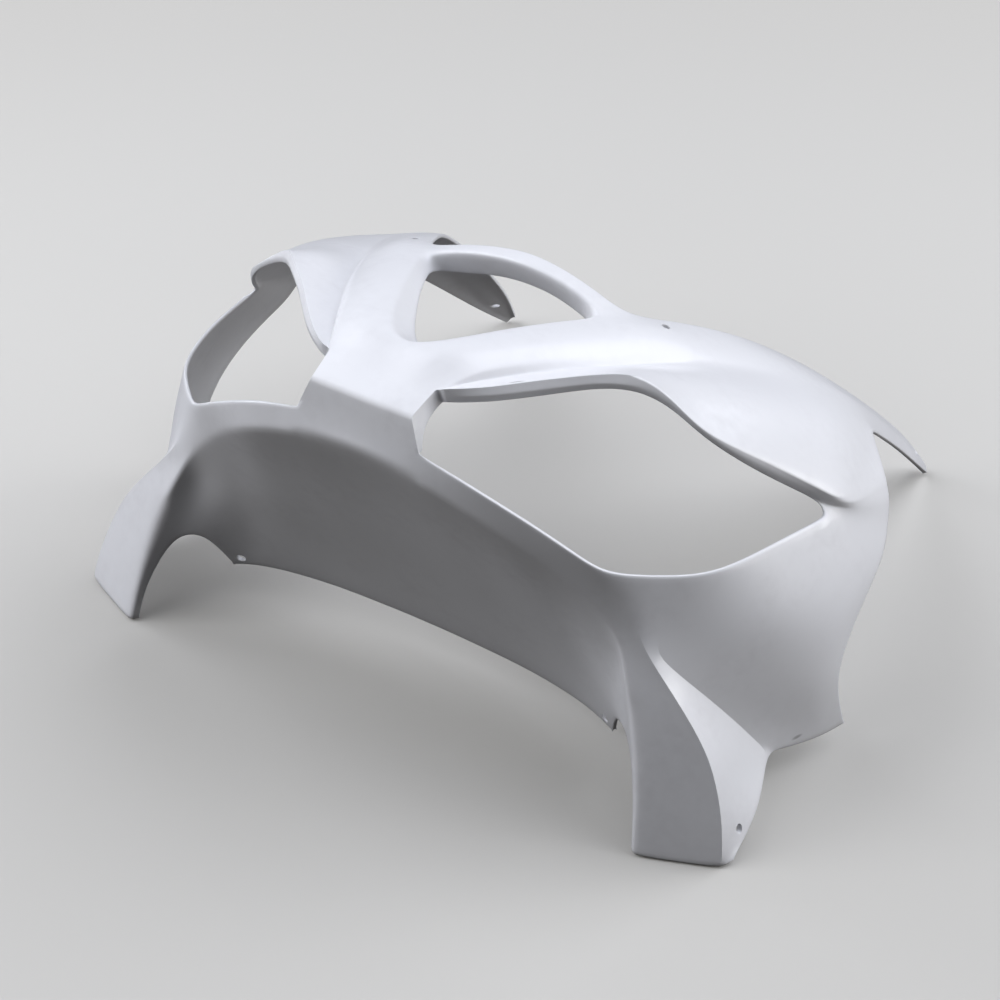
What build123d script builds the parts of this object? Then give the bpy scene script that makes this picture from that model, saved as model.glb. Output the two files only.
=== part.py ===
from build123d import *
import os

import numpy as np

# Nose fairing of a sport motorcycle: one moulded plastic shell with two headlight openings,
# a screen seat closed by a bridge, two legs, two side panels and two tails.
# X is across, Y runs to the rear and Z is up. Lines are drawn for x > 0 and mirrored.

# Overall sizes in millimetres
WIDTH = 522.0
LENGTH = 458.0
HEIGHT = 275.0

# Moulding sizes in millimetres
WALL = 3.0
EYE_FLANGE = 12.0
SEAT_FLANGE = 24.0
BRIDGE_DEPTH = 21.0
CROWN_RISE = 5.0
TAIL_RISE = 1.0
PANEL_RISE = 16.0
CHIN_HOLLOW = 4.0
SCREW_HOLE = 6.0
CLIP_HOLE = 5.0
DRILL_LENGTH = 30.0

# How sharply a line of the skin is drawn: 0 is a soft blend, 3 is a moulded edge
EDGE = 3.0
FIRM = 2.2
SOFT = 1.2

# Size and flange depths that the lines below are drawn at
DRAWN_SIZE = np.array([522.0, 458.0, 275.0])
DRAWN_EYE_FLANGE = 12.0
DRAWN_SEAT_FLANGE = 24.0
DRAWN_BRIDGE_DEPTH = 24.0


def line(*points):
    """A character line, stretched from the drawn size to the overall sizes."""
    return np.array(points, dtype=float) * np.array([WIDTH, LENGTH, HEIGHT]) / DRAWN_SIZE


def join(*lines):
    return np.vstack(lines)


def between(first, second, share, rise):
    """A line part of the way from one line to another, raised square to the skin."""
    share = np.reshape(share, (-1, 1))
    middle = (1 - share) * first + share * second
    normal = np.cross(np.gradient(middle, axis=0), second - first)
    normal[middle[:, 0] == 0, 0] = 0
    normal /= np.linalg.norm(normal, axis=1)[:, None]
    return middle + np.reshape(rise, (-1, 1)) * normal


# Screen opening, crown and brow, from the nose to the tip of the tail
NOSE_EDGE = line((0, 8, 260), (18, 8, 260), (36, 8, 260))
ROLL = line(
    (0, 51, 274), (16, 61, 275), (30, 85, 272), (45, 117, 266), (58, 147, 258), (68, 170, 251),
    (76, 187, 245), (92, 219, 230), (112, 256, 208), (128, 290, 182), (140, 330, 147),
    (153, 368, 110), (164, 403, 74), (173, 434, 40), (180, 456, 6),
)
SPINE = join(NOSE_EDGE[:1], line((0, 31, 267)), ROLL)
BROW = line(
    (36, 8, 260), (38, 30, 267), (48, 50, 270), (56, 66, 269), (67, 88, 265), (82, 113, 258),
    (96, 139, 249), (105, 167, 242.5), (112, 190, 234), (127, 220, 218), (145, 255, 197.5),
    (161, 281, 178), (176, 307, 155), (179, 351, 114), (181, 395, 71), (184, 428, 33), (185, 455, 3),
)
CROWN = between(BROW, SPINE, 0.5, [0, 1] + 7 * [CROWN_RISE] + 8 * [TAIL_RISE])
CROWN[0] = NOSE_EDGE[1]
TAIL_EDGE = line(
    (230, 258, 142), (205, 288, 148), (201, 345, 98), (197, 385, 61), (194, 420, 28), (187, 452, 0)
)

# Headlight opening: upper lip, the valley under the brow, the panel between them,
# and the shelf where the lip runs out
EYE_TOP = line(
    (44.5, 29, 270.5), (61, 45, 271.5), (78, 62, 271), (95, 80, 270), (112, 93, 270), (131, 107, 261),
    (150, 116, 247), (168, 118.5, 233.5), (192, 146, 209), (223, 182, 172), (236, 194, 158),
)
VALLEY = line(
    (40.2, 30.6, 267.3), (49.3, 48, 265.8), (58.3, 63.7, 263.2), (71, 85, 259.4), (85.3, 110, 253.8),
    (98.9, 136, 245.1), (111.9, 162, 236.5), (124, 187, 226.4), (138.5, 217, 211.8), (156, 252, 193.5),
    (172, 277, 176.5), (188, 304, 153), (190, 350, 110), (190, 392, 68), (190, 425, 30), (186, 454, 1.5),
)
PANEL_SHARE = [0.8, 0.8, 0.75, 0.7, 0.6] + 6 * [0.5]
PANEL_SWELL = np.array([0, 0, 0, 0, 0, 0.33, 0.57, 0.76, 0.92, 1, 0.92])
PANEL = between(EYE_TOP, VALLEY[:11], PANEL_SHARE, PANEL_RISE * PANEL_SWELL)
SHELF = line((221, 183, 162), (236, 196, 154), (239, 250, 128))

# Belt under the headlights and fold above the chin, from the centre to the rear edge
BELT = line(
    (0, 2, 238), (22, 2.5, 238.5), (44, 3, 239), (72, 4, 231), (95, 10, 219), (117, 18, 205),
    (137, 24, 192), (153, 31, 180), (167, 43, 176), (182, 58, 172), (203, 80, 168), (217, 126, 166),
    (227, 176, 158), (238, 208, 141), (243, 241, 116),
)
FOLD = line(
    (0, -2.5, 229.5), (22, -2, 227.5), (43, -1.5, 223), (61, 1.5, 216), (78.5, 4.5, 208.5),
    (99.5, 11, 195.5), (127, 23.5, 174), (160, 36, 139), (175, 37, 135), (179, 40, 135), (212, 76, 130),
    (234, 121, 125), (247, 166, 119), (251, 198, 112), (251, 222, 105),
)

# Flange turned in from the headlight opening's edge, from the belt round to the end of the lip
EYE_EDGE = join(BELT[2:3], BROW[:2], VALLEY[:1], PANEL[:1], EYE_TOP[:10])
EYE_RETURN = line(
    (44.5, 6, 240), (41, 13, 253), (40.5, 31.5, 257), (41.3, 32.3, 257.5), (42.2, 32.6, 258),
    (43.2, 32.5, 258.5), (60, 47, 259.5), (77, 64, 259), (94, 82.5, 258), (109, 99, 258.5),
    (124, 115, 250), (141, 127, 237), (160, 128, 224), (191, 148, 197), (221, 183, 162),
)
EYE_RETURN = EYE_EDGE + (EYE_RETURN - EYE_EDGE) * EYE_FLANGE / DRAWN_EYE_FLANGE

# Chin, with the rounded notch between it and the leg
CHIN_EDGE = line(
    (0, 76, 34), (22, 76, 34), (46, 75, 34), (71, 74, 34), (96, 71, 34), (119, 66, 35),
    (138, 60, 35), (151, 55, 33),
)
NOTCH = line((157, 42, 109), (160, 40, 87), (161, 39, 67))
CHIN_HIGH, CHIN_MID, CHIN_LOW = [
    join(between(CHIN_EDGE, FOLD[:8], share, -CHIN_HOLLOW)[:7], NOTCH[i:i + 1])
    for i, share in enumerate((0.75, 0.5, 0.25))
]

# Leg, from top to bottom: inner edge, ridge, crease and outer edge
LEG_INNER = line(
    (167, 36, 107), (171, 32, 86), (176, 29, 65), (186, 19, 45), (193, 9, 22), (196, 4, 0),
)
LEG_RIDGE = join(FOLD[7:8], line(
    (170, 30, 118), (179, 23, 96), (186, 17, 73), (192, 11, 50), (197, 5, 26), (200, -2, 0),
))
LEG_CREASE = join(FOLD[8:9], line(
    (194, 37, 113), (213, 36, 91), (229, 35, 69), (239, 31, 46), (246, 26, 26), (251, 19, 0),
))
LEG_OUTER = join(FOLD[9:10], line(
    (194, 49, 116), (211, 65, 86), (227, 86, 50), (238, 99, 26), (253, 66, 14), (256, 30, 4),
))

# Side panel, from top to bottom, each line from the leg to the rear edge
SIDE_HIGH = line(
    (194, 49, 116), (219, 81, 106), (239, 116, 99), (250, 146, 93), (254, 164, 91), (254, 181, 91),
)
SIDE_MID = line(
    (211, 65, 86), (227, 89, 78), (241, 113, 71), (250, 131, 66), (254, 143, 64), (256, 153, 64),
)
SIDE_LOW = line(
    (227, 86, 50), (237, 104, 46), (246, 121, 42), (253, 136, 39), (256, 147, 38), (258, 156, 38),
)
SIDE_EDGE = line(
    (238, 99, 26), (244, 112, 22), (250, 127, 18), (255, 141, 15), (258, 152, 13), (261, 163, 12),
)

# Seat of the screen and the bridge that closes it at the rear
BRIDGE_FRONT = line((48, 176, 256), (24, 178, 261), (0, 178, 263))
BRIDGE_LOW = line((44, 183, 234), (23, 187, 238.5), (0, 188, 240))
BRIDGE_REAR = line((50, 190, 254), (25, 192, 260), (0, 193, 263))
SEAT = line((0, 70, 257), (13, 82, 258), (23, 98, 257), (37, 122, 256), (50, 148, 250), (61, 170, 241))
SEAT = ROLL[:6] + (SEAT - ROLL[:6]) * SEAT_FLANGE / DRAWN_SEAT_FLANGE
BRIDGE_LOW = BRIDGE_FRONT + (BRIDGE_LOW - BRIDGE_FRONT) * BRIDGE_DEPTH / DRAWN_BRIDGE_DEPTH

# Hole centres, and the turns that lay a drill along each axis
SCREEN_HOLE, CHIN_HOLE, LEG_HOLE, TAIL_HOLE = line(
    (95.5, 200, 236), (144.5, 56, 41), (250.5, 41, 15), (182.6, 436, 28)
)
ALONG_X = (0, 90, 0)
ALONG_Y = (90, 0, 0)
ALONG_Z = (0, 0, 0)


def strip(first, second):
    """Panels between two lines of the same length, the second to the left of the first."""
    if len(first) != len(second):
        raise ValueError("the two lines of a strip need the same number of points")
    return [(first[i], first[i + 1], second[i + 1], second[i]) for i in range(len(first) - 1)]


def half_panels():
    """All panels of the drawn half."""
    panels = strip(CROWN, SPINE)
    panels += strip(BROW, CROWN)
    panels += strip(VALLEY, BROW[1:])
    panels += strip(PANEL, VALLEY[:11])
    panels += strip(EYE_TOP, PANEL)
    panels += strip(join(PANEL[10:], TAIL_EDGE[1:]), VALLEY[10:])
    panels += strip(join(EYE_TOP[10:], TAIL_EDGE[:1]), join(PANEL[10:], TAIL_EDGE[1:2]))
    panels += strip(SHELF, join(EYE_TOP[9:], TAIL_EDGE[:1]))
    panels += strip(BELT[12:], SHELF)
    panels += strip(BELT[:3], NOSE_EDGE)
    panels += strip(FOLD, BELT)
    panels += strip(CHIN_HIGH, FOLD[:8])
    panels += strip(CHIN_MID, CHIN_HIGH)
    panels += strip(CHIN_LOW, CHIN_MID)
    panels += strip(CHIN_EDGE, CHIN_LOW)
    panels += strip(join(LEG_RIDGE[:1], NOTCH), join(LEG_RIDGE[1:2], LEG_INNER[:3]))
    panels += strip(LEG_INNER, LEG_RIDGE[1:])
    panels += strip(LEG_RIDGE, LEG_CREASE)
    panels += strip(LEG_CREASE, LEG_OUTER)
    panels += strip(SIDE_HIGH, FOLD[9:])
    panels += strip(SIDE_MID, SIDE_HIGH)
    panels += strip(SIDE_LOW, SIDE_MID)
    panels += strip(SIDE_EDGE, SIDE_LOW)
    panels += strip(EYE_RETURN, EYE_EDGE)
    panels += strip(join(ROLL[:6], BRIDGE_FRONT), join(SEAT, BRIDGE_LOW))
    panels += strip(join(ROLL[6:7], BRIDGE_REAR), join(ROLL[5:6], BRIDGE_FRONT))
    return panels


def half_lines():
    """Lines of the drawn half that stay sharp, each with its sharpness."""
    return [
        (NOSE_EDGE, FIRM),
        (EYE_EDGE, EDGE),
        (ROLL[:6], FIRM),
        (join(ROLL[5:6], BRIDGE_FRONT), SOFT),
        (BROW[1:8], SOFT),
        (VALLEY[:8], FIRM),
        (VALLEY[7:10], SOFT),
        (FOLD[:7], SOFT),
        (LEG_RIDGE[1:], SOFT),
        (LEG_CREASE, EDGE),
        (LEG_OUTER[:5], FIRM),
        (EYE_TOP[9:11], FIRM),
        (SHELF[:2], FIRM),
    ]


CORNERS = [BELT[12], TAIL_EDGE[1]]


def mirrored(point):
    return (-point[0], point[1], point[2])


def build_cage():
    """Both halves as numbered points, panels, sharp edges and corners."""
    index = {}

    def number(point):
        key = tuple(round(float(c), 4) + 0.0 for c in point)
        return index.setdefault(key, len(index))

    panels = []
    for panel in half_panels():
        panels.append([number(p) for p in panel])
        panels.append([number(mirrored(p)) for p in reversed(panel)])
    sharp = {}
    for path, value in half_lines():
        for a, b in zip(path, path[1:]):
            sharp[frozenset((number(a), number(b)))] = value
            sharp[frozenset((number(mirrored(a)), number(mirrored(b))))] = value
    corners = set()
    for point in CORNERS:
        corners |= {number(point), number(mirrored(point))}
    points = np.array(list(index), dtype=float)
    grids = [np.array([[a, b], [d, c]]) for a, b, c, d in panels]
    return points, grids, sharp, corners


def cells(grid):
    """The small quads of one panel, each as four point numbers in order."""
    for i in range(grid.shape[0] - 1):
        for j in range(grid.shape[1] - 1):
            yield grid[i, j], grid[i, j + 1], grid[i + 1, j + 1], grid[i + 1, j]


def neighbours(grids):
    """Faces around each edge and edges around each point."""
    edge_faces, point_faces, point_edges, faces = {}, {}, {}, []
    for grid in grids:
        for quad in cells(grid):
            number = len(faces)
            faces.append(quad)
            for a, b in zip(quad, quad[1:] + quad[:1]):
                edge = frozenset((a, b))
                edge_faces.setdefault(edge, []).append(number)
                point_faces.setdefault(a, []).append(number)
                point_edges.setdefault(a, set()).add(edge)
                point_edges.setdefault(b, set()).add(edge)
    return faces, edge_faces, point_faces, point_edges


def refine(points, grids, sharp, corners):
    """One smoothing step: every small quad becomes four, sharp lines stay sharp."""
    faces, edge_faces, point_faces, point_edges = neighbours(grids)
    middles = np.array([points[list(quad)].mean(axis=0) for quad in faces])
    new_points = []
    edge_number = {}

    def weight(edge):
        return 9.0 if len(edge_faces[edge]) == 1 else sharp.get(edge, 0.0)

    for v in range(len(points)):
        edges = list(point_edges[v])
        hard = [e for e in edges if weight(e) > 0.0]
        count = len(edges)
        ends = np.array([points[list(e)].sum(axis=0) - points[v] for e in edges])
        around = middles[point_faces[v]].mean(axis=0)
        smooth = (around + ends.mean(axis=0) + (count - 2) * points[v]) / count
        if v in corners or len(hard) > 2 or len(point_faces[v]) == 1:
            new_points.append(points[v])
        elif len(hard) == 2:
            along = sum(points[list(e)].sum(axis=0) - points[v] for e in hard)
            crease = (along + 6.0 * points[v]) / 8.0
            blend = min(1.0, sum(weight(e) for e in hard) / 2.0)
            new_points.append(blend * crease + (1.0 - blend) * smooth)
        else:
            new_points.append(smooth)
    new_sharp = {}
    for edge, used in edge_faces.items():
        a, b = tuple(edge)
        middle = (points[a] + points[b]) / 2.0
        blend = min(1.0, weight(edge))
        if len(used) == 2:
            soft = (points[a] + points[b] + middles[used[0]] + middles[used[1]]) / 4.0
            middle = blend * middle + (1.0 - blend) * soft
        edge_number[edge] = len(new_points)
        new_points.append(middle)
        rest = sharp.get(edge, 0.0) - 1.0
        if rest > 0.0:
            new_sharp[frozenset((a, edge_number[edge]))] = rest
            new_sharp[frozenset((b, edge_number[edge]))] = rest
    first_middle = len(new_points)
    new_points.extend(middles)
    new_grids = []
    face = first_middle
    for grid in grids:
        rows, columns = grid.shape
        fine = np.zeros((2 * rows - 1, 2 * columns - 1), dtype=int)
        fine[::2, ::2] = grid
        for i in range(rows):
            for j in range(columns - 1):
                fine[2 * i, 2 * j + 1] = edge_number[frozenset((grid[i, j], grid[i, j + 1]))]
        for i in range(rows - 1):
            for j in range(columns):
                fine[2 * i + 1, 2 * j] = edge_number[frozenset((grid[i, j], grid[i + 1, j]))]
        for i in range(rows - 1):
            for j in range(columns - 1):
                fine[2 * i + 1, 2 * j + 1] = face
                face += 1
        new_grids.append(fine)
    return np.array(new_points), new_grids, new_sharp


def smooth_skin(points, panels, sharp, corners):
    """A field of five by five points on the smooth skin for every panel of the cage."""
    for _ in range(3):
        points, panels, sharp = refine(points, panels, sharp, corners)
    return [points[grid[::2, ::2]] for grid in panels]


def inner_points(points, grids):
    """The cage's points moved inwards by the wall, square to every panel they touch."""
    faces, _, point_faces, _ = neighbours(grids)
    normals = []
    for a, b, c, d in faces:
        normal = np.cross(points[c] - points[a], points[d] - points[b])
        normals.append(normal / np.linalg.norm(normal))
    normals = np.array(normals)
    moved = points.copy()
    for v, used in point_faces.items():
        target = np.full(len(used), -WALL)
        shift = np.linalg.lstsq(normals[used], target, rcond=0.3)[0]
        moved[v] = points[v] + shift
    return moved


SAMPLES = np.linspace(0.0, 1.0, 5)
BERNSTEIN = np.array([
    [(1 - t) ** 4, 4 * t * (1 - t) ** 3, 6 * t**2 * (1 - t) ** 2, 4 * t**3 * (1 - t), t**4]
    for t in SAMPLES
])
FIT = np.linalg.inv(BERNSTEIN)


def patch(samples):
    """A smooth face through a five by five, or five by two, field of points."""
    poles = np.einsum("ij,jkl->ikl", FIT, samples)
    if samples.shape[1] == 5:
        poles = np.einsum("ij,kjl->kil", FIT, poles)
    return Face.make_bezier_surface([[tuple(p) for p in row] for row in poles])


def sides_of(field):
    """The four sides of a field of points, in order round it."""
    return field[0], field[:, -1], field[-1, ::-1], field[::-1, 0]


def shell_faces(outer, inner, free):
    """Outer skin, inner skin and the rim along every free edge, all facing away from the wall."""
    faces = []
    for outside, inside, free_here in zip(outer, inner, free):
        faces.append(patch(outside.swapaxes(0, 1)))
        faces.append(patch(inside))
        for above, below, is_free in zip(sides_of(outside), sides_of(inside), free_here):
            if is_free:
                faces.append(patch(np.stack([below, above], axis=1)))
    return faces


def free_sides(grids):
    """For each panel, which of its four sides is a free edge."""
    _, edge_faces, _, _ = neighbours(grids)
    result = []
    for grid in grids:
        (a, b), (d, c) = grid
        result.append([len(edge_faces[frozenset(e)]) == 1 for e in ((a, b), (b, c), (c, d), (d, a))])
    return result


def make_shell():
    """The moulded shell as one solid."""
    points, panels, sharp, corners = build_cage()
    outer = smooth_skin(points, panels, sharp, corners)
    inner = smooth_skin(inner_points(points, panels), panels, sharp, corners)
    return Solid(Shell(shell_faces(outer, inner, free_sides(panels))))


def drill(shell, centre, turn, diameter):
    """The same round hole on both sides of the shell."""
    x, y, z = centre
    for side in (x, -x):
        shell = shell - Pos(side, y, z) * Rot(*turn) * Cylinder(diameter / 2, DRILL_LENGTH)
    return shell


def main():
    fairing = make_shell()
    fairing = drill(fairing, SCREEN_HOLE, ALONG_Z, SCREW_HOLE)
    fairing = drill(fairing, CHIN_HOLE, ALONG_Y, SCREW_HOLE)
    fairing = drill(fairing, LEG_HOLE, ALONG_X, SCREW_HOLE)
    fairing = drill(fairing, TAIL_HOLE, ALONG_Y, CLIP_HOLE)
    box = fairing.bounding_box()
    middle = (box.min.Y + box.max.Y) / 2
    fairing = Pos(0, -middle, -box.min.Z) * fairing
    fairing = fairing.solids()[0]
    fairing.label = "nose_fairing"
    os.makedirs("parts", exist_ok=True)
    export_step(fairing, "parts/nose_fairing.step")
    box = fairing.bounding_box()
    print("size", box.size, "origin moved by", middle, "volume", fairing.volume, "valid", fairing.is_valid)


if __name__ == "__main__":
    main()
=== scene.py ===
"""A white moulded nose fairing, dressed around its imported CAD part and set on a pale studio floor."""

import math
from collections import Counter

import bmesh
import bpy
import numpy as np
from bpy.props import FloatProperty, FloatVectorProperty, IntProperty, PointerProperty
from bpy.types import Operator, Panel, PropertyGroup
from mathutils import Matrix, Vector


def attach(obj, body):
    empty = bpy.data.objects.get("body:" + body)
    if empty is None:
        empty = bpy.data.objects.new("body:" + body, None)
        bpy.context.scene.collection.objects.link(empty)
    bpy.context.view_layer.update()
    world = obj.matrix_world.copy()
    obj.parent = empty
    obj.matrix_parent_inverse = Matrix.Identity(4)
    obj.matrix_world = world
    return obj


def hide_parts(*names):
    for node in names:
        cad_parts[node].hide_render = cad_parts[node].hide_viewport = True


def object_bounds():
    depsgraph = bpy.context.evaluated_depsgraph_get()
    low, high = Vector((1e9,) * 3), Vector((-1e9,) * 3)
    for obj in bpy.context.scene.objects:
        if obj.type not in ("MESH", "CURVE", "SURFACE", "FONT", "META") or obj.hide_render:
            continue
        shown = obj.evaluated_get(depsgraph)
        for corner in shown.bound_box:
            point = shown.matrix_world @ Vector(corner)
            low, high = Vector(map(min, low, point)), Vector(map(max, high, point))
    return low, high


bl_info = {
    "name": "Nose Fairing",
    "version": (1, 0, 0),
    "blender": (4, 5, 0),
    "location": "View3D > Sidebar > Fairing",
    "description": "Builds a white moulded nose fairing and a studio stage around its CAD frame",
    "category": "Object",
}

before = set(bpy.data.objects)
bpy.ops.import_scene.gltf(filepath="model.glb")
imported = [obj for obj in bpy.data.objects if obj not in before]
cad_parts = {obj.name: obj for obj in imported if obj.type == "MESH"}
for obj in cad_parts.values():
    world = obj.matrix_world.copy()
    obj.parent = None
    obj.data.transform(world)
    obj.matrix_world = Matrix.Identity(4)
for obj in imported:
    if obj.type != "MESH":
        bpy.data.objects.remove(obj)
CAD_LOW, CAD_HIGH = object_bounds()
NODE = "nose_fairing"
BODY = "root"
MM = 0.001

# Box of the finished shell in the millimetres that the lines below are drawn in
DRAWN_LOW = np.array([-261.0, -1.17, -1.29])
DRAWN_HIGH = np.array([261.0, 456.06, 275.48])

# How firmly the surface holds a line: 0 is a soft blend, 1 is a knife edge
EDGE = 0.548
FIRM = 0.469
SOFT = 0.346

# Share of spread below which the panels around a point count as facing one way
LEAN_LIMIT = 0.3

# Faces that meet at more than this angle are shaded with a hard edge
HARD_ANGLE = math.radians(55)


def line(*points):
    """A character line of the half with x > 0."""
    return np.array(points, dtype=float)


def join(*lines):
    return np.vstack(lines)


def between(first, second, share, rise):
    """A line part of the way from one line to another, raised square to the skin."""
    share = np.reshape(share, (-1, 1))
    middle = (1 - share) * first + share * second
    normal = np.cross(np.gradient(middle, axis=0), second - first)
    # On the middle plane the skin has no sideways lean
    normal[middle[:, 0] == 0, 0] = 0
    normal /= np.linalg.norm(normal, axis=1)[:, None]
    return middle + np.reshape(rise, (-1, 1)) * normal


def crown_lines(shape):
    """Screen opening, crown and brow, from the nose to the tip of the tail."""
    nose_edge = line((0, 8, 260), (18, 8, 260), (36, 8, 260))
    roll = line(
        (0, 51, 274), (16, 61, 275), (30, 85, 272), (45, 117, 266), (58, 147, 258), (68, 170, 251),
        (76, 187, 245), (92, 219, 230), (112, 256, 208), (128, 290, 182), (140, 330, 147),
        (153, 368, 110), (164, 403, 74), (173, 434, 40), (180, 456, 6),
    )
    spine = join(nose_edge[:1], line((0, 31, 267)), roll)
    brow = line(
        (36, 8, 260), (38, 30, 267), (48, 50, 270), (56, 66, 269), (67, 88, 265), (82, 113, 258),
        (96, 139, 249), (105, 167, 242.5), (112, 190, 234), (127, 220, 218), (145, 255, 197.5),
        (161, 281, 178), (176, 307, 155), (179, 351, 114), (181, 395, 71), (184, 428, 33), (185, 455, 3),
    )
    rise = [0, 1] + 7 * [shape.crown_rise / MM] + 8 * [shape.tail_rise / MM]
    crown = between(brow, spine, 0.5, rise)
    crown[0] = nose_edge[1]
    tail_edge = line(
        (230, 258, 142), (205, 288, 148), (201, 345, 98), (197, 385, 61), (194, 420, 28), (187, 452, 0),
    )
    return {
        "nose_edge": nose_edge, "roll": roll, "spine": spine, "brow": brow, "crown": crown,
        "tail_edge": tail_edge,
    }


def headlight_lines(shape):
    """Upper lip, the valley under the brow, the panel between them and the shelf behind the lip."""
    eye_top = line(
        (44.5, 29, 270.5), (62, 43.5, 269.2), (78.6, 61, 269.5), (95.5, 79.2, 268.8), (112.1, 92.8, 269.6),
        (128.8, 110.4, 266.3), (149, 117.5, 249.5), (168, 118.5, 233.2), (192, 146, 209), (223, 182, 172),
        (236, 194, 158),
    )
    valley = line(
        (40.2, 30.6, 267.3), (49.3, 48, 265.8), (58.3, 63.7, 263.2), (71, 85, 259.4), (85.3, 110, 253.8),
        (98.9, 136, 245.1), (111.9, 162, 236.5), (124, 187, 226.4), (138.5, 217, 211.8), (156, 252, 193.5),
        (172, 277, 176.5), (188, 304, 153), (190, 350, 110), (190, 392, 68), (190, 425, 30), (186, 454, 1.5),
    )
    share = [0.8, 0.8, 0.75, 0.7, 0.6] + 6 * [0.5]
    swell = np.array([0, 0, 0, 0, 0, 0.33, 0.57, 0.76, 0.92, 1, 0.92])
    panel = between(eye_top, valley[:11], share, swell * shape.panel_rise / MM)
    shelf = line((221, 183, 162), (236, 196, 154), (239, 250, 128))
    shelf_rise = line((222.3, 182.3, 167.3), (236, 195, 156), (234.5, 254, 135))
    return {
        "eye_top": eye_top, "valley": valley, "panel": panel, "shelf": shelf, "shelf_rise": shelf_rise,
    }


def front_lines(shape):
    """Belt under the headlights, fold above the chin, and the chin with its rounded notches."""
    belt = line(
        (0, 2, 238), (22, 2.5, 238.5), (44, 3, 239), (72, 4, 231), (95, 10, 219), (117, 18, 205),
        (137, 24, 192), (153, 31, 180), (167, 43, 176), (182, 58, 172), (203, 80, 168), (217, 126, 166),
        (227, 176, 158), (238, 208, 141), (243, 241, 116),
    )
    fold = line(
        (0, -2.5, 229.5), (22, -2, 227.5), (43, -1.5, 223), (61, 1.5, 216), (78.5, 4.5, 208.5),
        (99.5, 11, 195.5), (127, 23.5, 174), (160, 36, 139), (175, 37, 135), (179, 40, 135), (212, 76, 130),
        (237, 119.5, 125.5), (247, 166, 119), (251, 198, 112), (251, 222, 105),
    )
    chin_edge = line(
        (0, 76, 34), (22, 76, 34), (46, 75, 34), (71, 74, 34), (96, 71, 34), (119, 66, 35),
        (138, 60, 35), (151, 55, 33),
    )
    notch = line((157, 42, 109), (160, 40, 87), (161, 39, 67))
    lines = {"belt": belt, "fold": fold, "chin_edge": chin_edge, "notch": notch}
    shares = {"chin_high": 0.75, "chin_mid": 0.5, "chin_low": 0.25}
    for row, (name, share) in enumerate(shares.items()):
        across = between(chin_edge, fold[:8], share, -shape.chin_hollow / MM)[:7]
        lines[name] = join(across, notch[row:row + 1])
    return lines


def leg_lines(fold):
    """Leg from top to bottom: inner edge, ridge, crease and outer edge."""
    return {
        "leg_inner": line(
            (167, 36, 107), (171, 32, 86), (176, 29, 65), (186, 19, 45), (193, 9, 22), (196, 4, 0),
        ),
        "leg_ridge": join(fold[7:8], line(
            (170, 30, 118), (179, 23, 96), (186, 17, 73), (192, 11, 50), (197, 5, 26), (200, -2, 0),
        )),
        "leg_crease": join(fold[8:9], line(
            (194, 37, 113), (213, 36, 91), (229, 35, 69), (239, 31, 46), (246, 26, 26), (251, 19, 0),
        )),
        "leg_outer": join(fold[9:10], line(
            (193, 44, 117), (211, 64, 86), (227, 86, 50), (238, 99, 26), (253, 65, 14), (254.5, 26.5, 2.5),
        )),
    }


def side_lines(leg_outer):
    """Side panel from top to bottom, each line from the leg to the rear edge."""
    return {
        "side_high": join(leg_outer[1:2], line(
            (219, 81, 106), (239.5, 115.5, 99), (251.5, 145.5, 93), (254, 164, 91), (254, 181, 91),
        )),
        "side_mid": join(leg_outer[2:3], line(
            (227, 89, 78), (241, 113, 71), (250, 131, 66), (254, 143, 64), (256, 153, 64),
        )),
        "side_low": join(leg_outer[3:4], line(
            (237, 104, 46), (246, 121, 42), (253, 136, 39), (256, 147, 38), (258, 156, 38),
        )),
        "side_edge": join(leg_outer[4:5], line(
            (244, 112, 22), (250, 127, 18), (255, 141, 15), (258, 152, 13), (261, 163, 12),
        )),
    }


def flange_lines(at):
    """Flanges turned in from the headlight opening and from the screen opening with its bridge."""
    bridge_front = line((48, 176, 256), (24, 178, 261), (0, 178, 263))
    return {
        "eye_edge": join(
            at["belt"][2:3], at["brow"][:2], at["valley"][:1], at["panel"][:1], at["eye_top"][:10],
        ),
        "eye_bend": join(line(
            (44.3, 4.5, 239.5), (38.5, 10.5, 256.5), (39.2, 30.8, 262), (40.8, 31.5, 262.5),
            (42.5, 31.5, 263.5), (44.8, 28.8, 265), (63.7, 41.8, 265), (80.6, 59, 264.6),
            (97.3, 77.2, 264.1), (113.6, 90.9, 265.3), (130.6, 107.3, 260.2), (149.6, 116.4, 247),
            (168.3, 118.2, 232.5), (194, 144.5, 203.5),
        ), at["shelf_rise"][:1]),
        "eye_return": join(line(
            (44.5, 6, 240), (41, 13, 253), (40.5, 31.5, 257), (41.3, 32.3, 257.5), (42.2, 32.6, 258),
            (44, 30.5, 259.5), (63.4, 42.2, 260), (80.3, 59.5, 259.6), (97, 77.6, 259.4),
            (113.3, 91.3, 261), (130.3, 107.8, 256), (149.3, 116.8, 243.6), (168, 118.8, 229.3),
            (193.5, 145, 197.5),
        ), at["shelf"][:1]),
        "seat": line(
            (0, 70, 257), (13, 82, 258), (23, 98, 257), (37, 122, 256), (50, 148, 250), (61, 170, 241),
        ),
        "bridge_front": bridge_front,
        "bridge_low": line((44.5, 182, 236.8), (23, 186, 241.3), (0, 186.8, 242.9)),
        "bridge_rear": line((50, 190, 254), (25, 192, 260), (0, 193, 263)),
        "opening": join(at["roll"][:6], bridge_front),
    }


def draw_lines(shape):
    """All character lines by name, in millimetres."""
    at = crown_lines(shape)
    at.update(headlight_lines(shape))
    at.update(front_lines(shape))
    at.update(leg_lines(at["fold"]))
    at.update(side_lines(at["leg_outer"]))
    at.update(flange_lines(at))
    return at


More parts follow.
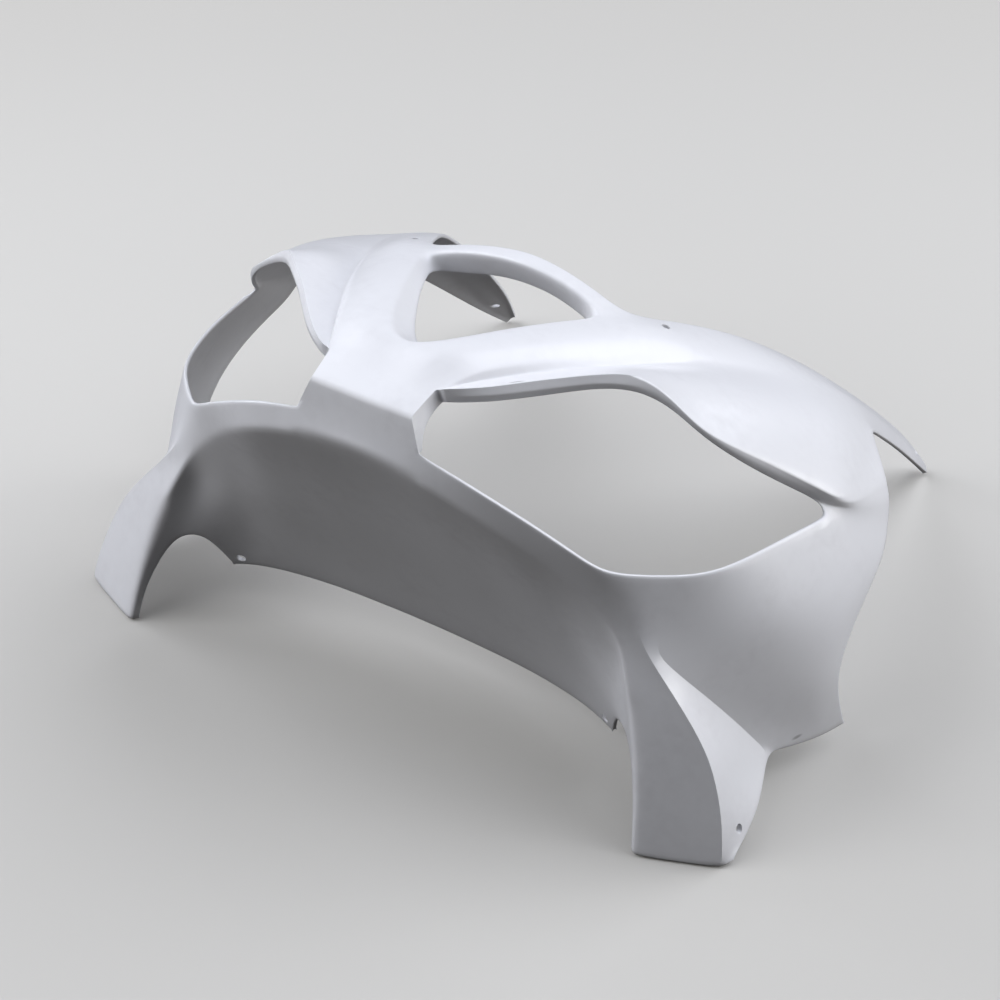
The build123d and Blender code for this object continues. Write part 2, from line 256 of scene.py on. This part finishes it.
def strip(first, second):
    """Panels between two lines of the same length, the second to the left of the first."""
    return [(first[i], first[i + 1], second[i + 1], second[i]) for i in range(len(first) - 1)]


def panels_of(at):
    """All panels of the drawn half, each as four points."""
    pairs = [
        (at["crown"], at["spine"]),
        (at["brow"], at["crown"]),
        (at["valley"], at["brow"][1:]),
        (at["panel"], at["valley"][:11]),
        (at["eye_top"], at["panel"]),
        (join(at["panel"][10:], at["tail_edge"][1:]), at["valley"][10:]),
        (join(at["eye_top"][10:], at["tail_edge"][:1]), join(at["panel"][10:], at["tail_edge"][1:2])),
        (at["shelf_rise"], join(at["eye_top"][9:], at["tail_edge"][:1])),
        (at["shelf"], at["shelf_rise"]),
        (at["belt"][12:], at["shelf"]),
        (at["belt"][:3], at["nose_edge"]),
        (at["fold"], at["belt"]),
        (at["chin_high"], at["fold"][:8]),
        (at["chin_mid"], at["chin_high"]),
        (at["chin_low"], at["chin_mid"]),
        (at["chin_edge"], at["chin_low"]),
        (join(at["leg_ridge"][:1], at["notch"]), join(at["leg_ridge"][1:2], at["leg_inner"][:3])),
        (at["leg_inner"], at["leg_ridge"][1:]),
        (at["leg_ridge"], at["leg_crease"]),
        (at["leg_crease"], at["leg_outer"]),
        (at["side_high"], at["fold"][9:]),
        (at["side_mid"], at["side_high"]),
        (at["side_low"], at["side_mid"]),
        (at["side_edge"], at["side_low"]),
        (at["eye_bend"], at["eye_edge"]),
        (at["eye_return"], at["eye_bend"]),
        (at["opening"], join(at["seat"], at["bridge_low"])),
        (join(at["roll"][6:7], at["bridge_rear"]), join(at["roll"][5:6], at["bridge_front"])),
    ]
    return [panel for first, second in pairs for panel in strip(first, second)]


def firm_lines_of(at):
    """Lines that the surface holds, each with its firmness."""
    return [
        (at["nose_edge"], FIRM),
        (at["eye_edge"][:11], EDGE),
        (at["eye_edge"][10:], FIRM),
        (at["eye_bend"][5:11], FIRM),
        (at["roll"][:6], FIRM),
        (at["opening"][5:], SOFT),
        (at["brow"][1:8], SOFT),
        (at["valley"][:8], FIRM),
        (at["valley"][7:10], SOFT),
        (at["fold"][:3], SOFT),
        (at["fold"][2:8], FIRM),
        (at["leg_ridge"][:3], FIRM),
        (at["leg_ridge"][2:], SOFT),
        (at["leg_crease"], EDGE),
        (at["leg_outer"][:5], EDGE),
        (at["eye_top"][9:11], FIRM),
        (at["shelf"][:2], FIRM),
    ]


def crisp_lines_of(at):
    """Lines where the shading breaks as well as the surface."""
    return [at["leg_crease"], at["leg_outer"][:5]]


def to_frame(point):
    """A drawn point in the frame's metres."""
    low = np.array(CAD_LOW)
    high = np.array(CAD_HIGH)
    return Vector(low + (np.array(point) - DRAWN_LOW) * (high - low) / (DRAWN_HIGH - DRAWN_LOW))


def whole_cage(shape):
    """Points, panels, firm edges, crisp edges and held corners of both halves."""
    at = draw_lines(shape)
    index = {}

    def number(point, side):
        key = (round(float(point[0]) * side, 4) + 0.0, round(float(point[1]), 4), round(float(point[2]), 4))
        return index.setdefault(key, len(index))

    panels = []
    for panel in panels_of(at):
        panels.append([number(p, 1) for p in panel])
        panels.append([number(p, -1) for p in reversed(panel)])
    firm = {}
    for path, firmness in firm_lines_of(at):
        for side in (1, -1):
            for a, b in zip(path, path[1:]):
                firm[frozenset((number(a, side), number(b, side)))] = firmness
    crisp = set()
    for path in crisp_lines_of(at):
        for side in (1, -1):
            crisp |= {frozenset((number(a, side), number(b, side))) for a, b in zip(path, path[1:])}
    held = {number(p, side) for p in (at["belt"][12], at["tail_edge"][1]) for side in (1, -1)}
    uses = Counter(v for panel in panels for v in panel)
    held |= {v for v, count in uses.items() if count == 1}
    return np.array(list(index)), panels, firm, crisp, held


def wall_points(points, panels, wall):
    """The points moved inwards by the wall, square to every panel they touch."""
    around = {}
    for panel in panels:
        a, b, c, d = points[panel]
        normal = np.cross(c - a, d - b)
        for v in panel:
            around.setdefault(v, []).append(normal / np.linalg.norm(normal))
    moved = points.copy()
    for v, normals in around.items():
        moved[v] += np.linalg.lstsq(np.array(normals), np.full(len(normals), -wall), rcond=LEAN_LIMIT)[0]
    return moved


def free_edges(panels):
    """Directed edges that only one panel has."""
    edges = {(a, b) for panel in panels for a, b in zip(panel, panel[1:] + panel[:1])}
    return sorted((a, b) for a, b in edges if (b, a) not in edges)


def cage_mesh(shape):
    """The thick cage as a mesh: outer skin, inner skin and rim, with creases and held corners."""
    points, panels, firm, crisp, held = whole_cage(shape)
    inner = wall_points(points, panels, shape.wall / MM)
    bm = bmesh.new()
    crease = bm.edges.layers.float.new("crease_edge")
    corner = bm.verts.layers.float.new("crease_vert")
    outside = [bm.verts.new(to_frame(p)) for p in points]
    inside = [bm.verts.new(to_frame(p)) for p in inner]
    for panel in panels:
        bm.faces.new([outside[v] for v in panel])
        bm.faces.new([inside[v] for v in reversed(panel)])
    rim = free_edges(panels)
    for a, b in rim:
        bm.faces.new([outside[b], outside[a], inside[a], inside[b]])
    for skin in (outside, inside):
        for a, b in rim:
            bm.edges.get((skin[a], skin[b]))[crease] = shape.rim_firmness
        for edge, firmness in firm.items():
            a, b = edge
            bm.edges.get((skin[a], skin[b]))[crease] = firmness
        for v in held:
            skin[v][corner] = 1.0
    for edge in crisp:
        bm.edges.get([outside[v] for v in edge]).smooth = False
    for v in held:
        bm.edges.get((outside[v], inside[v]))[crease] = shape.rim_firmness
    mesh = bpy.data.meshes.new("fairing_shell")
    bm.to_mesh(mesh)
    bm.free()
    return mesh


def drill_mesh(shape):
    """One round drill for every hole of both sides."""
    bm = bmesh.new()
    quarter = math.radians(90)
    along_x = Matrix.Rotation(quarter, 4, "Y")
    along_y = Matrix.Rotation(quarter, 4, "X")
    along_z = Matrix.Identity(4)
    screen_screw = (95.5, 200, 236)
    chin_screw = (144.5, 56, 41)
    leg_screw = (250.5, 41, 15)
    tail_clip = (182.6, 436, 28)
    holes = [
        (screen_screw, along_z, shape.screw_hole),
        (chin_screw, along_y, shape.screw_hole),
        (leg_screw, along_x, shape.screw_hole),
        (tail_clip, along_y, shape.clip_hole),
    ]
    for (x, y, z), turn, diameter in holes:
        for side in (x, -x):
            bmesh.ops.create_cone(
                bm, cap_ends=True, segments=32, radius1=diameter / 2, radius2=diameter / 2,
                depth=shape.drill_length, matrix=Matrix.Translation(to_frame((side, y, z))) @ turn,
            )
    mesh = bpy.data.meshes.new("drills")
    bm.to_mesh(mesh)
    bm.free()
    return mesh


def split_wide_faces(mesh):
    """Split the many-sided faces around the holes into triangles."""
    bm = bmesh.new()
    bm.from_mesh(mesh)
    bmesh.ops.triangulate(bm, faces=[face for face in bm.faces if len(face.verts) > 4])
    bm.to_mesh(mesh)
    bm.free()


def mark_hard_edges(mesh):
    """Shade smoothly, with hard edges along the crisp lines and where faces meet steeply."""
    mesh.shade_smooth()
    drawn = np.zeros(len(mesh.edges), dtype=bool)
    mesh.edges.foreach_get("use_edge_sharp", drawn)
    mesh.set_sharp_from_angle(angle=HARD_ANGLE)
    steep = np.zeros(len(mesh.edges), dtype=bool)
    mesh.edges.foreach_get("use_edge_sharp", steep)
    mesh.edges.foreach_set("use_edge_sharp", drawn | steep)


def linked(name, data):
    """A new object in the scene."""
    made = bpy.data.objects.new(name, data)
    bpy.context.scene.collection.objects.link(made)
    return made


class FairingShape(PropertyGroup):
    """Sizes of the moulded shell."""

    wall: FloatProperty(
        name="Wall", description="Thickness of the moulded wall", default=0.003, unit="LENGTH")
    crown_rise: FloatProperty(
        name="Crown rise", description="Rise of the crown beside the screen", default=0.005, unit="LENGTH")
    tail_rise: FloatProperty(
        name="Tail rise", description="Rise of the tail across its width", default=0.001, unit="LENGTH")
    panel_rise: FloatProperty(
        name="Panel rise", description="Swell of the panel over the lip", default=0.016, unit="LENGTH")
    chin_hollow: FloatProperty(
        name="Chin hollow", description="How far the chin is drawn in", default=0.004, unit="LENGTH")
    screw_hole: FloatProperty(
        name="Screw hole", description="Diameter of the screw holes", default=0.006, unit="LENGTH")
    clip_hole: FloatProperty(
        name="Clip hole", description="Diameter of the clip holes", default=0.005, unit="LENGTH")
    drill_length: FloatProperty(
        name="Drill length", description="Length of the drill for the holes", default=0.03, unit="LENGTH")
    rim_firmness: FloatProperty(
        name="Rim firmness", description="How crisp the free edges are", default=0.40, min=0, max=1)
    smoothness: IntProperty(
        name="Smoothness", description="Subdivision steps of the skin", default=3, min=1, max=4)


class FairingFinish(PropertyGroup):
    """Colours and gloss of the moulded plastic."""

    white: FloatVectorProperty(
        name="White", description="Colour of the clean plastic", subtype="COLOR", size=3,
        default=(0.82, 0.82, 0.84))
    dust: FloatVectorProperty(
        name="Dust", description="Colour of handling marks and dust", subtype="COLOR", size=3,
        default=(0.66, 0.65, 0.67))
    dust_amount: FloatProperty(
        name="Dust amount", description="How much of the surface the dust veils", default=0.45,
        min=0, max=1, subtype="FACTOR")
    # Colour of two small dark marks painted on the lip's ledge and on the side panel
    dark_mark: FloatVectorProperty(
        name="Dark mark", description="Colour of the small dark_marks", subtype="COLOR", size=3,
        default=(0.25, 0.24, 0.24))
    gloss_roughness: FloatProperty(
        name="Gloss roughness", description="Roughness of the clean gloss", default=0.30,
        min=0, max=1, subtype="FACTOR")
    dust_dulling: FloatProperty(
        name="Dust dulling", description="Roughness that a full veil of dust adds", default=0.45,
        min=0, max=1, subtype="FACTOR")


class FairingStage(PropertyGroup):
    """Floor, lights and camera."""

    floor: FloatVectorProperty(
        name="Floor", description="Colour of the pale floor", subtype="COLOR", size=3,
        default=(0.60, 0.585, 0.55))
    bounce: FloatVectorProperty(
        name="Bounce", description="Colour the floor throws back on the part", subtype="COLOR", size=3,
        default=(0.06, 0.056, 0.052))
    sky: FloatVectorProperty(
        name="Sky", description="Colour of the faint light all round", subtype="COLOR", size=3,
        default=(0.02, 0.02, 0.02))
    backdrop: FloatVectorProperty(
        name="Backdrop", description="Colour that the floor fades into", subtype="COLOR", size=3,
        default=(0.62, 0.615, 0.61))
    floor_reach: FloatProperty(
        name="Floor reach", description="From the middle to the floor's edge", default=8.0, unit="LENGTH")
    fade_start: FloatProperty(
        name="Fade start", description="Where the floor starts to fade", default=0.5, min=0, unit="LENGTH")
    fade_end: FloatProperty(
        name="Fade end", description="Where the floor has faded", default=1.4, min=0, unit="LENGTH")
    light_level: FloatProperty(
        name="Light level", description="Level of all the soft lamps", default=1.08, min=0)
    camera_place: FloatVectorProperty(
        name="Camera place", description="Where the camera stands", subtype="XYZ", unit="LENGTH", size=3,
        default=(0.6644, -1.0907, 1.0368))
    camera_aim: FloatVectorProperty(
        name="Camera aim", description="Point the camera looks at", subtype="XYZ", unit="LENGTH", size=3,
        default=(-0.0244, -0.0331, 0.0534))
    camera_roll: FloatProperty(
        name="Camera roll", description="Turn about the line of sight", subtype="ANGLE", default=0.0016)
    lens: FloatProperty(
        name="Lens", description="Focal length in millimetres", default=82.8, min=1)


def new_group(name, inputs, outputs):
    """An empty shader node group with named sockets."""
    group = bpy.data.node_groups.new(name, "ShaderNodeTree")
    for way, sockets in (("INPUT", inputs), ("OUTPUT", outputs)):
        for label, kind in sockets.items():
            group.interface.new_socket(label, in_out=way, socket_type=kind)
    return group


def math_node(nodes, link, operation, *values):
    """Output of a new Math node fed by the given sockets."""
    node = nodes.new("ShaderNodeMath")
    node.operation = operation
    for slot, value in enumerate(values):
        link(value, node.inputs[slot])
    return node.outputs["Value"]


def noise_node(nodes, link, where, scale, detail):
    """A new Noise texture over the given coordinates."""
    node = nodes.new("ShaderNodeTexNoise")
    node.inputs["Scale"].default_value = scale
    node.inputs["Detail"].default_value = detail
    link(where, node.inputs["Vector"])
    return node


def range_node(nodes, link, value, low, high):
    """Output of a new node that takes the stretch from low to high to the stretch from 0 to 1."""
    node = nodes.new("ShaderNodeMapRange")
    node.inputs["From Min"].default_value = low
    node.inputs["From Max"].default_value = high
    link(value, node.inputs["Value"])
    return node.outputs["Result"]


def mix_node(nodes, link, factor):
    """A new colour Mix node driven by the given socket."""
    node = nodes.new("ShaderNodeMix")
    node.data_type = "RGBA"
    link(factor, node.inputs["Factor"])
    return node


# Two small dark marks painted on the lip's ledge and on the side panel: place, turn, size and strength
DARK_MARKS = (
    ((0.0738, -0.1664, 0.2693), (0.0, 0.0, 0.82), (0.0062, 0.0011, 0.004), 0.9),
    ((0.2470, -0.1061, 0.0274), (0.3, 0.0, 1.18), (0.0050, 0.004, 0.0016), 0.6),
)


def dark_mark_mask(nodes, link, where):
    """Mask of the two small dark marks painted on the ledge and the side panel."""
    masks = []
    for place, turn, size, strength in DARK_MARKS:
        local = nodes.new("ShaderNodeMapping")
        local.vector_type = "TEXTURE"
        local.inputs["Location"].default_value = place
        local.inputs["Rotation"].default_value = turn
        local.inputs["Scale"].default_value = size
        link(where, local.inputs["Vector"])
        round_mask = nodes.new("ShaderNodeTexGradient")
        round_mask.gradient_type = "SPHERICAL"
        link(local.outputs["Vector"], round_mask.inputs["Vector"])
        soft = nodes.new("ShaderNodeMapRange")
        soft.inputs["From Max"].default_value = 0.6
        soft.inputs["To Max"].default_value = strength
        link(round_mask.outputs["Fac"], soft.inputs["Value"])
        masks.append(soft)
    return math_node(nodes, link, "MAXIMUM", *[mask.outputs["Result"] for mask in masks])


def moulded_skin_group():
    """Dust veil, mottled gloss, two small painted dark marks and faint moulding ripple over the skin."""
    color = "NodeSocketColor"
    number = "NodeSocketFloat"
    group = new_group(
        "moulded_skin",
        inputs={
            "Clean": color, "Dust": color, "Dark mark": color,
            "Dust Amount": number, "Gloss": number, "Dulling": number,
        },
        outputs={"Color": color, "Roughness": number, "Height": number},
    )
    nodes = group.nodes
    link = group.links.new
    inside = nodes.new("NodeGroupInput")
    outside = nodes.new("NodeGroupOutput")
    where = nodes.new("ShaderNodeTexCoord").outputs["Object"]
    cloud = noise_node(nodes, link, where, scale=22, detail=6)
    cloud.inputs["Roughness"].default_value = 0.62
    specks = noise_node(nodes, link, where, scale=120, detail=3)
    ripple = noise_node(nodes, link, where, scale=55, detail=2)
    patches = range_node(nodes, link, cloud.outputs["Fac"], 0.42, 0.72)
    grain = range_node(nodes, link, specks.outputs["Fac"], 0.35, 0.75)
    both = math_node(nodes, link, "MULTIPLY", patches, grain)
    veil = math_node(nodes, link, "MULTIPLY", both, inside.outputs["Dust Amount"])
    tint = mix_node(nodes, link, veil)
    link(inside.outputs["Clean"], tint.inputs["A"])
    link(inside.outputs["Dust"], tint.inputs["B"])
    # Two small dark marks painted over the dust-veiled colour
    marked = mix_node(nodes, link, dark_mark_mask(nodes, link, where))
    link(tint.outputs["Result"], marked.inputs["A"])
    link(inside.outputs["Dark mark"], marked.inputs["B"])
    link(marked.outputs["Result"], outside.inputs["Color"])
    dull = math_node(nodes, link, "MULTIPLY_ADD", veil, inside.outputs["Dulling"], inside.outputs["Gloss"])
    link(dull, outside.inputs["Roughness"])
    link(ripple.outputs["Fac"], outside.inputs["Height"])
    return group


def gloss_material(finish):
    """White moulded gloss plastic."""
    material = bpy.data.materials.new("gloss_white_plastic")
    material.use_nodes = True
    nodes = material.node_tree.nodes
    link = material.node_tree.links.new
    shader = nodes["Principled BSDF"]
    shader.inputs["IOR"].default_value = 1.49
    shader.inputs["Coat Weight"].default_value = 0.15
    shader.inputs["Coat Roughness"].default_value = 0.12
    skin = nodes.new("ShaderNodeGroup")
    skin.node_tree = moulded_skin_group()
    values = {
        "Clean": (*finish.white, 1),
        "Dust": (*finish.dust, 1),
        "Dark mark": (*finish.dark_mark, 1),
        "Dust Amount": finish.dust_amount,
        "Gloss": finish.gloss_roughness,
        "Dulling": finish.dust_dulling,
    }
    for label, value in values.items():
        skin.inputs[label].default_value = value
    link(skin.outputs["Color"], shader.inputs["Base Color"])
    link(skin.outputs["Roughness"], shader.inputs["Roughness"])
    bump = nodes.new("ShaderNodeBump")
    bump.inputs["Strength"].default_value = 0.12
    bump.inputs["Distance"].default_value = 0.0006
    link(skin.outputs["Height"], bump.inputs["Height"])
    link(bump.outputs["Normal"], shader.inputs["Normal"])
    return material


class FAIRING_OT_shell(Operator):
    """Build the moulded shell with its lips, legs, tails and holes"""

    bl_idname = "fairing.shell"
    bl_label = "Moulded shell"

    def execute(self, context):
        shape = context.scene.fairing_shape
        shell = linked("fairing_shell", cage_mesh(shape))
        drills = linked("drills", drill_mesh(shape))
        skin = shell.modifiers.new("Smooth skin", "SUBSURF")
        skin.levels = skin.render_levels = shape.smoothness
        skin.use_limit_surface = False
        cut = shell.modifiers.new("Holes", "BOOLEAN")
        cut.object = drills
        cut.solver = "EXACT"
        graph = context.evaluated_depsgraph_get()
        final = bpy.data.meshes.new_from_object(shell.evaluated_get(graph))
        shell.modifiers.clear()
        shell.data = final
        bpy.data.objects.remove(drills)
        split_wide_faces(final)
        mark_hard_edges(final)
        final.materials.clear()
        final.materials.append(gloss_material(context.scene.fairing_finish))
        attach(shell, BODY)
        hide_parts(NODE)
        return {"FINISHED"}


def floor_material(stage):
    """Pale to the eye, fading into the backdrop, and darker in the light that it throws back."""
    material = bpy.data.materials.new("pale_floor")
    material.use_nodes = True
    nodes = material.node_tree.nodes
    link = material.node_tree.links.new
    shader = nodes["Principled BSDF"]
    shader.inputs["Roughness"].default_value = 0.8
    shader.inputs["Specular IOR Level"].default_value = 0.2
    reach = nodes.new("ShaderNodeVectorMath")
    reach.operation = "LENGTH"
    link(nodes.new("ShaderNodeTexCoord").outputs["Object"], reach.inputs[0])
    fade = range_node(nodes, link, reach.outputs["Value"], stage.fade_start, stage.fade_end)
    fade.node.interpolation_type = "SMOOTHSTEP"
    seen = nodes.new("ShaderNodeLightPath").outputs["Is Camera Ray"]
    pale = mix_node(nodes, link, fade)
    pale.inputs["A"].default_value = (*stage.floor, 1)
    pale.inputs["B"].default_value = (0, 0, 0, 1)
    shade = mix_node(nodes, link, seen)
    shade.inputs["A"].default_value = (*stage.bounce, 1)
    link(pale.outputs["Result"], shade.inputs["B"])
    link(shade.outputs["Result"], shader.inputs["Base Color"])
    shader.inputs["Emission Color"].default_value = (*stage.backdrop, 1)
    link(math_node(nodes, link, "MULTIPLY", fade, seen), shader.inputs["Emission Strength"])
    return material


DAYLIGHT = (0.89, 0.92, 1.0)
NEUTRAL = (1.0, 0.99, 0.97)

# Soft lamps of the stage: name, place in metres, side in metres, power in watts and colour
LAMPS = (
    ("left_high", (-1.6, -0.2, 1.9), 1.8, 24.0, DAYLIGHT),
    ("front_left_high", (-1.1, -1.3, 2.0), 1.8, 18.0, DAYLIGHT),
    ("left_low", (-2.5, -0.3, 0.5), 0.9, 15.5, DAYLIGHT),
    ("front_left", (-1.7, -1.7, 1.2), 1.6, 13.0, NEUTRAL),
    ("back_right_high", (1.2, 1.4, 2.1), 2.8, 70.0, DAYLIGHT),
    ("right_low", (2.5, 0.6, 0.5), 0.9, 9.0, NEUTRAL),
    ("back_right_low", (2.0, 1.6, 0.6), 0.9, 11.0, NEUTRAL),
)


def area_lamp(name, place, size, power, color):
    """A square soft lamp that looks at the middle of the part."""
    lamp = bpy.data.lights.new(name, "AREA")
    lamp.shape = "RECTANGLE"
    lamp.size = lamp.size_y = size
    lamp.energy = power
    lamp.color = color
    made = linked(name, lamp)
    made.location = place
    made.rotation_euler = (-Vector(place)).to_track_quat("-Z", "Y").to_euler()
    return made


def pale_floor(stage):
    """A wide flat floor under the part."""
    mesh = bpy.data.meshes.new("floor")
    bm = bmesh.new()
    bmesh.ops.create_grid(bm, x_segments=1, y_segments=1, size=stage.floor_reach)
    bm.to_mesh(mesh)
    bm.free()
    floor = linked("floor", mesh)
    floor.location.z = CAD_LOW.z
    mesh.materials.append(floor_material(stage))
    return floor


def soft_sky(stage):
    """A faint light all round that the camera sees as the backdrop."""
    world = bpy.data.worlds.new("soft_sky")
    world.use_nodes = True
    nodes = world.node_tree.nodes
    link = world.node_tree.links.new
    sky = mix_node(nodes, link, nodes.new("ShaderNodeLightPath").outputs["Is Camera Ray"])
    sky.inputs["A"].default_value = (*stage.sky, 1)
    sky.inputs["B"].default_value = (*stage.backdrop, 1)
    link(sky.outputs["Result"], nodes["Background"].inputs["Color"])
    return world


def photo_camera(stage):
    """The camera at the photograph's angle."""
    lens = bpy.data.cameras.new("photo_camera")
    lens.lens = stage.lens
    camera = linked("photo_camera", lens)
    camera.location = stage.camera_place
    sight = Vector(stage.camera_aim) - Vector(stage.camera_place)
    roll = Matrix.Rotation(stage.camera_roll, 3, "Z")
    camera.rotation_euler = (sight.to_track_quat("-Z", "Y").to_matrix() @ roll).to_euler()
    return camera


class FAIRING_OT_stage(Operator):
    """Set the floor, the soft light and the camera"""

    bl_idname = "fairing.stage"
    bl_label = "Studio stage"

    def execute(self, context):
        stage = context.scene.fairing_stage
        pale_floor(stage)
        context.scene.world = soft_sky(stage)
        for name, place, size, power, color in LAMPS:
            area_lamp(name, place, size, power * stage.light_level, color)
        context.scene.camera = photo_camera(stage)
        context.scene.view_settings.view_transform = "Standard"
        return {"FINISHED"}


class FAIRING_PT_panel(Panel):
    """Sizes, finish and stage of the fairing"""

    bl_idname = "FAIRING_PT_panel"
    bl_label = "Nose fairing"
    bl_space_type = "VIEW_3D"
    bl_region_type = "UI"
    bl_category = "Fairing"

    def draw(self, context):
        scene = context.scene
        for group in (scene.fairing_shape, scene.fairing_finish, scene.fairing_stage):
            column = self.layout.column()
            for name in group.bl_rna.properties.keys():
                if name not in {"name", "rna_type"}:
                    column.prop(group, name)
        self.layout.operator("fairing.shell")
        self.layout.operator("fairing.stage")


CLASSES = (FairingShape, FairingFinish, FairingStage, FAIRING_OT_shell, FAIRING_OT_stage, FAIRING_PT_panel)


def register():
    for cls in CLASSES:
        bpy.utils.register_class(cls)
    bpy.types.Scene.fairing_shape = PointerProperty(type=FairingShape)
    bpy.types.Scene.fairing_finish = PointerProperty(type=FairingFinish)
    bpy.types.Scene.fairing_stage = PointerProperty(type=FairingStage)


def unregister():
    del bpy.types.Scene.fairing_stage
    del bpy.types.Scene.fairing_finish
    del bpy.types.Scene.fairing_shape
    for cls in reversed(CLASSES):
        bpy.utils.unregister_class(cls)


def main():
    register()
    bpy.ops.fairing.shell()
    bpy.ops.fairing.stage()


if __name__ == "__main__":
    main()
